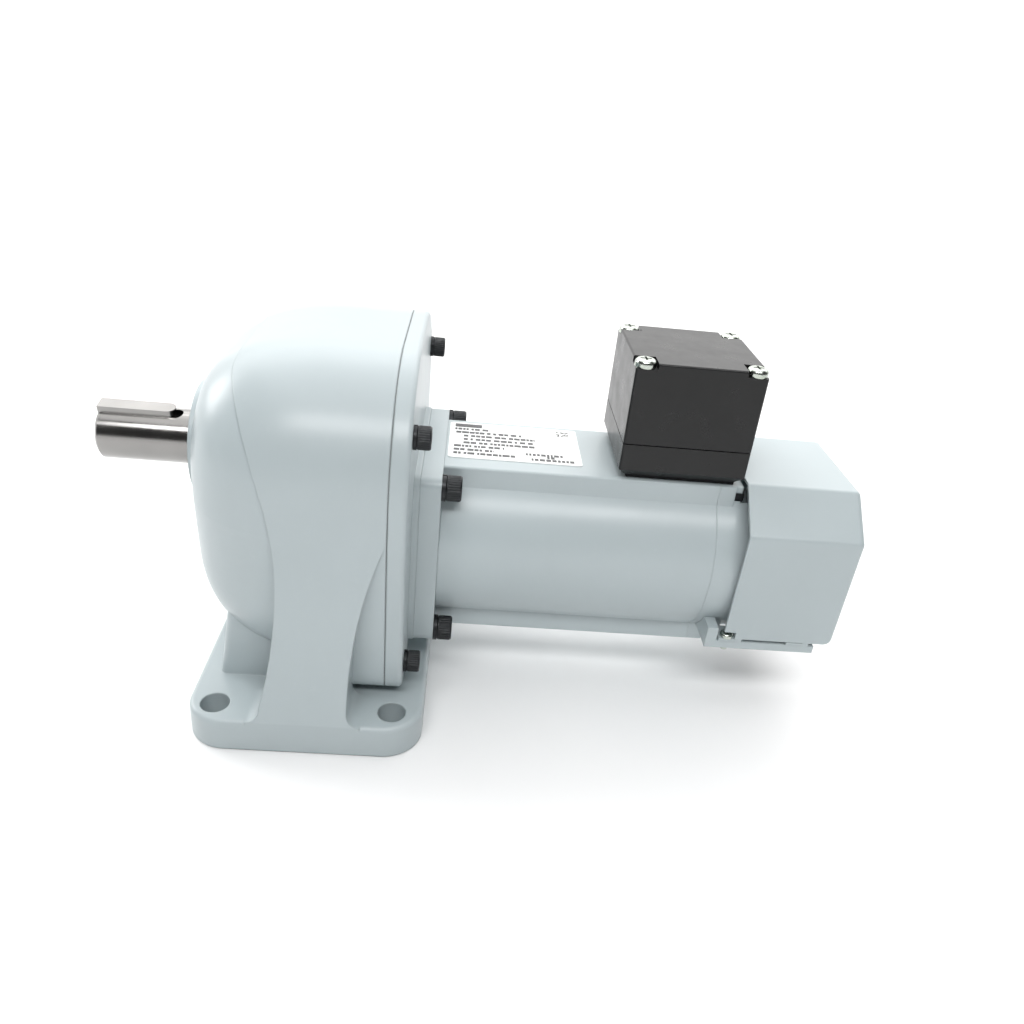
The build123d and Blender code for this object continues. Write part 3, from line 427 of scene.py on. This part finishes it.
def cap_screw(bm, where, size, shank_l):
    """Socket-head cap screw along the X axis of its place, seated at 0, with a knurled head towards +X."""
    head_r, head_h, shank_r = size
    segments = KNURL_RIDGES * 4
    socket = head_r * SOCKET_RADIUS
    bottom = head_h * SOCKET_FLOOR

    def knurl_and_socket(r, x, i):
        """Two of every four steps round lie lower on the knurl, and the socket has six sides."""
        if r > head_r * 0.98 and KNURL_LOW * head_h < x < KNURL_HIGH * head_h:
            return r - head_r * (KNURL_DEPTH if i % 4 in (2, 3) else 0.0)
        if r < socket * 1.2 and x > bottom - 1e-6:
            across = math.radians((360 * i / segments) % 60 - 30)
            return r * math.cos(math.radians(30)) / math.cos(across) * 1.08
        return r

    shank = [(-shank_l, 0.0), (-shank_l, shank_r * 0.8), (-shank_l + shank_r * 0.2, shank_r), (0.0, shank_r)]
    head = [(0.0, head_r * 0.93), (0.05 * head_h, head_r * 0.985), (0.10 * head_h, head_r * 0.985),
            (0.14 * head_h, head_r), (0.86 * head_h, head_r), (0.90 * head_h, head_r * 0.975),
            (0.97 * head_h, head_r * 0.93), (head_h, head_r * 0.86)]
    hollow = [(head_h, socket * 1.12), (head_h - 0.04 * head_h, socket),
              (bottom, socket), (bottom - 0.1 * head_h, 0.0)]
    lathe(bm, shank + head + hollow, segments, where, knurl_and_socket)


def screws_like(node, name, size, rng):
    """Knurled screws in the places of the CAD node's own four, which they replace."""
    low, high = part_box(node)
    head_r, head_h, _ = size
    seat = high.x - head_h
    bm = bmesh.new()
    for y in (low.y + head_r, high.y - head_r):
        for z in (low.z + head_r, high.z - head_r):
            turn = Matrix.Rotation(rng.uniform(0, 2 * math.pi), 4, "X")
            cap_screw(bm, Matrix.Translation((seat, y, z)) @ turn, size, high.x - low.x - head_h)
    piece = finished(name, bm, "black_oxide")
    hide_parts(node)


def flat_block(bm, x0, x1, y0, y1, z0, z1):
    """Closed box between two corners."""
    corners = [Vector((x, y, z)) for z in (z0, z1) for x, y in ((x0, y0), (x1, y0), (x1, y1), (x0, y1))]
    v = [bm.verts.new(c) for c in corners]
    for face in ((0, 3, 2, 1), (4, 5, 6, 7), (0, 1, 5, 4), (1, 2, 6, 5), (2, 3, 7, 6), (3, 0, 4, 7)):
        bm.faces.new([v[i] for i in face])


def label_print(rng):
    """Rows of short plain bars, a broad bar, a rule and a checked square in place of the printed text."""
    low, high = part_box("nameplate")
    long, wide = high.x - low.x, high.y - low.y
    z = high.z
    bm = bmesh.new()

    def mark(u0, u1, v0, v1):
        flat_block(bm, low.x + u0 * long, low.x + u1 * long,
                   low.y + v0 * wide, low.y + v1 * wide, z, z + PRINT_THICKNESS)

    def bars(u, end, v, lengths, gap):
        """A row of bars as long as words, gap() apart."""
        while u < end:
            step = rng.uniform(*lengths)
            mark(u, min(u + step, end), v, v + BAR_HEIGHT)
            u += step + gap()

    mark(*BROAD_BAR)
    mark(*RULE)
    for row, (start, end) in enumerate(ROWS):
        bars(start, end, TOP_ROW - row * ROW_PITCH, BAR_LENGTHS, lambda: rng.choice(BAR_GAPS))
    for start, end, v in CORNER_ROWS:
        bars(start, end, v, CORNER_LENGTHS, lambda: CORNER_GAP)
    for i in range(SQUARE_CELLS):
        for j in range(SQUARE_CELLS):
            if (i * 3 + j * 5 + i * j) % 7 < 4:
                u = SQUARE_CORNER[0] + i * CELL[0]
                v = SQUARE_CORNER[1] + j * CELL[1]
                mark(u, u + CELL[0] * CELL_FILL, v, v + CELL[1] * CELL_FILL)
    dress(finished("label_marks", bm, "label_film", smooth=False), printed_ink())


# ---------------------------------------------------------------- stage, light and camera
def floor():
    """Plain floor under the object, left out of the visual model."""
    mesh = bpy.data.meshes.new("floor")
    bm = bmesh.new()
    bmesh.ops.create_grid(bm, x_segments=4, y_segments=4, size=FLOOR_HALF)
    bm.to_mesh(mesh)
    bm.free()
    obj = bpy.data.objects.new("floor", mesh)
    bpy.context.scene.collection.objects.link(obj)
    obj.data.materials.append(floor_material())


def area_light(name, place, target, size, power):
    """Rectangular light at a place, aimed at a target."""
    light = bpy.data.lights.new(name, "AREA")
    light.shape = "RECTANGLE"
    light.size, light.size_y = size
    light.energy = power
    obj = bpy.data.objects.new(name, light)
    bpy.context.scene.collection.objects.link(obj)
    obj.location = place
    obj.rotation_euler = (Vector(target) - Vector(place)).to_track_quat("-Z", "Y").to_euler()


def world():
    """Pale studio all round: brightest behind the object, dimmer on the camera's side."""
    made = bpy.data.worlds.new("studio")
    bpy.context.scene.world = made
    made.use_nodes = True
    tree = made.node_tree
    background = tree.nodes["Background"]
    coordinates = tree.nodes.new("ShaderNodeTexCoord")
    split = tree.nodes.new("ShaderNodeSeparateXYZ")
    tree.links.new(coordinates.outputs["Generated"], split.inputs[0])
    bright = tree.nodes.new("ShaderNodeMapRange")
    bright.inputs["From Min"].default_value = 0.0
    bright.inputs["From Max"].default_value = WORLD_FULL
    bright.inputs["To Min"].default_value = WORLD_FRONT
    bright.inputs["To Max"].default_value = WORLD_BACK
    tree.links.new(split.outputs["Y"], bright.inputs["Value"])
    tree.links.new(bright.outputs["Result"], background.inputs["Strength"])
    background.inputs["Color"].default_value = WORLD_TINT


def camera():
    """A camera in its place, aimed by yaw from +Y, pitch down and roll."""
    yaw, pitch, roll = math.radians(CAMERA_YAW), math.radians(CAMERA_PITCH), math.radians(CAMERA_ROLL)
    forward = Vector((math.sin(yaw) * math.cos(pitch), math.cos(yaw) * math.cos(pitch), -math.sin(pitch)))
    level = forward.cross(Vector((0, 0, 1))).normalized()
    above = level.cross(forward)
    right = math.cos(roll) * level + math.sin(roll) * above
    up = -math.sin(roll) * level + math.cos(roll) * above
    data = bpy.data.cameras.new("camera")
    data.sensor_width = CAMERA_SENSOR
    data.lens = CAMERA_LENS
    data.clip_start = 0.01
    obj = bpy.data.objects.new("camera", data)
    bpy.context.scene.collection.objects.link(obj)
    axes = Matrix((right, up, -forward)).transposed().to_4x4()
    obj.matrix_world = Matrix.Translation(CAMERA_PLACE) @ axes
    bpy.context.scene.camera = obj


def main():
    rng = random.Random(SEED)
    dress_cad()
    screws_like("cover_bolts", "cover_cap_screws", COVER_SCREW, rng)
    screws_like("motor_bolts", "motor_cap_screws", MOTOR_SCREW, rng)
    label_print(rng)

    floor()
    world()
    for light in LIGHTS:
        area_light(*light)
    camera()
    view = bpy.context.scene.view_settings
    view.view_transform = "Standard"
    view.look = "None"
    view.exposure = 0.0


main()
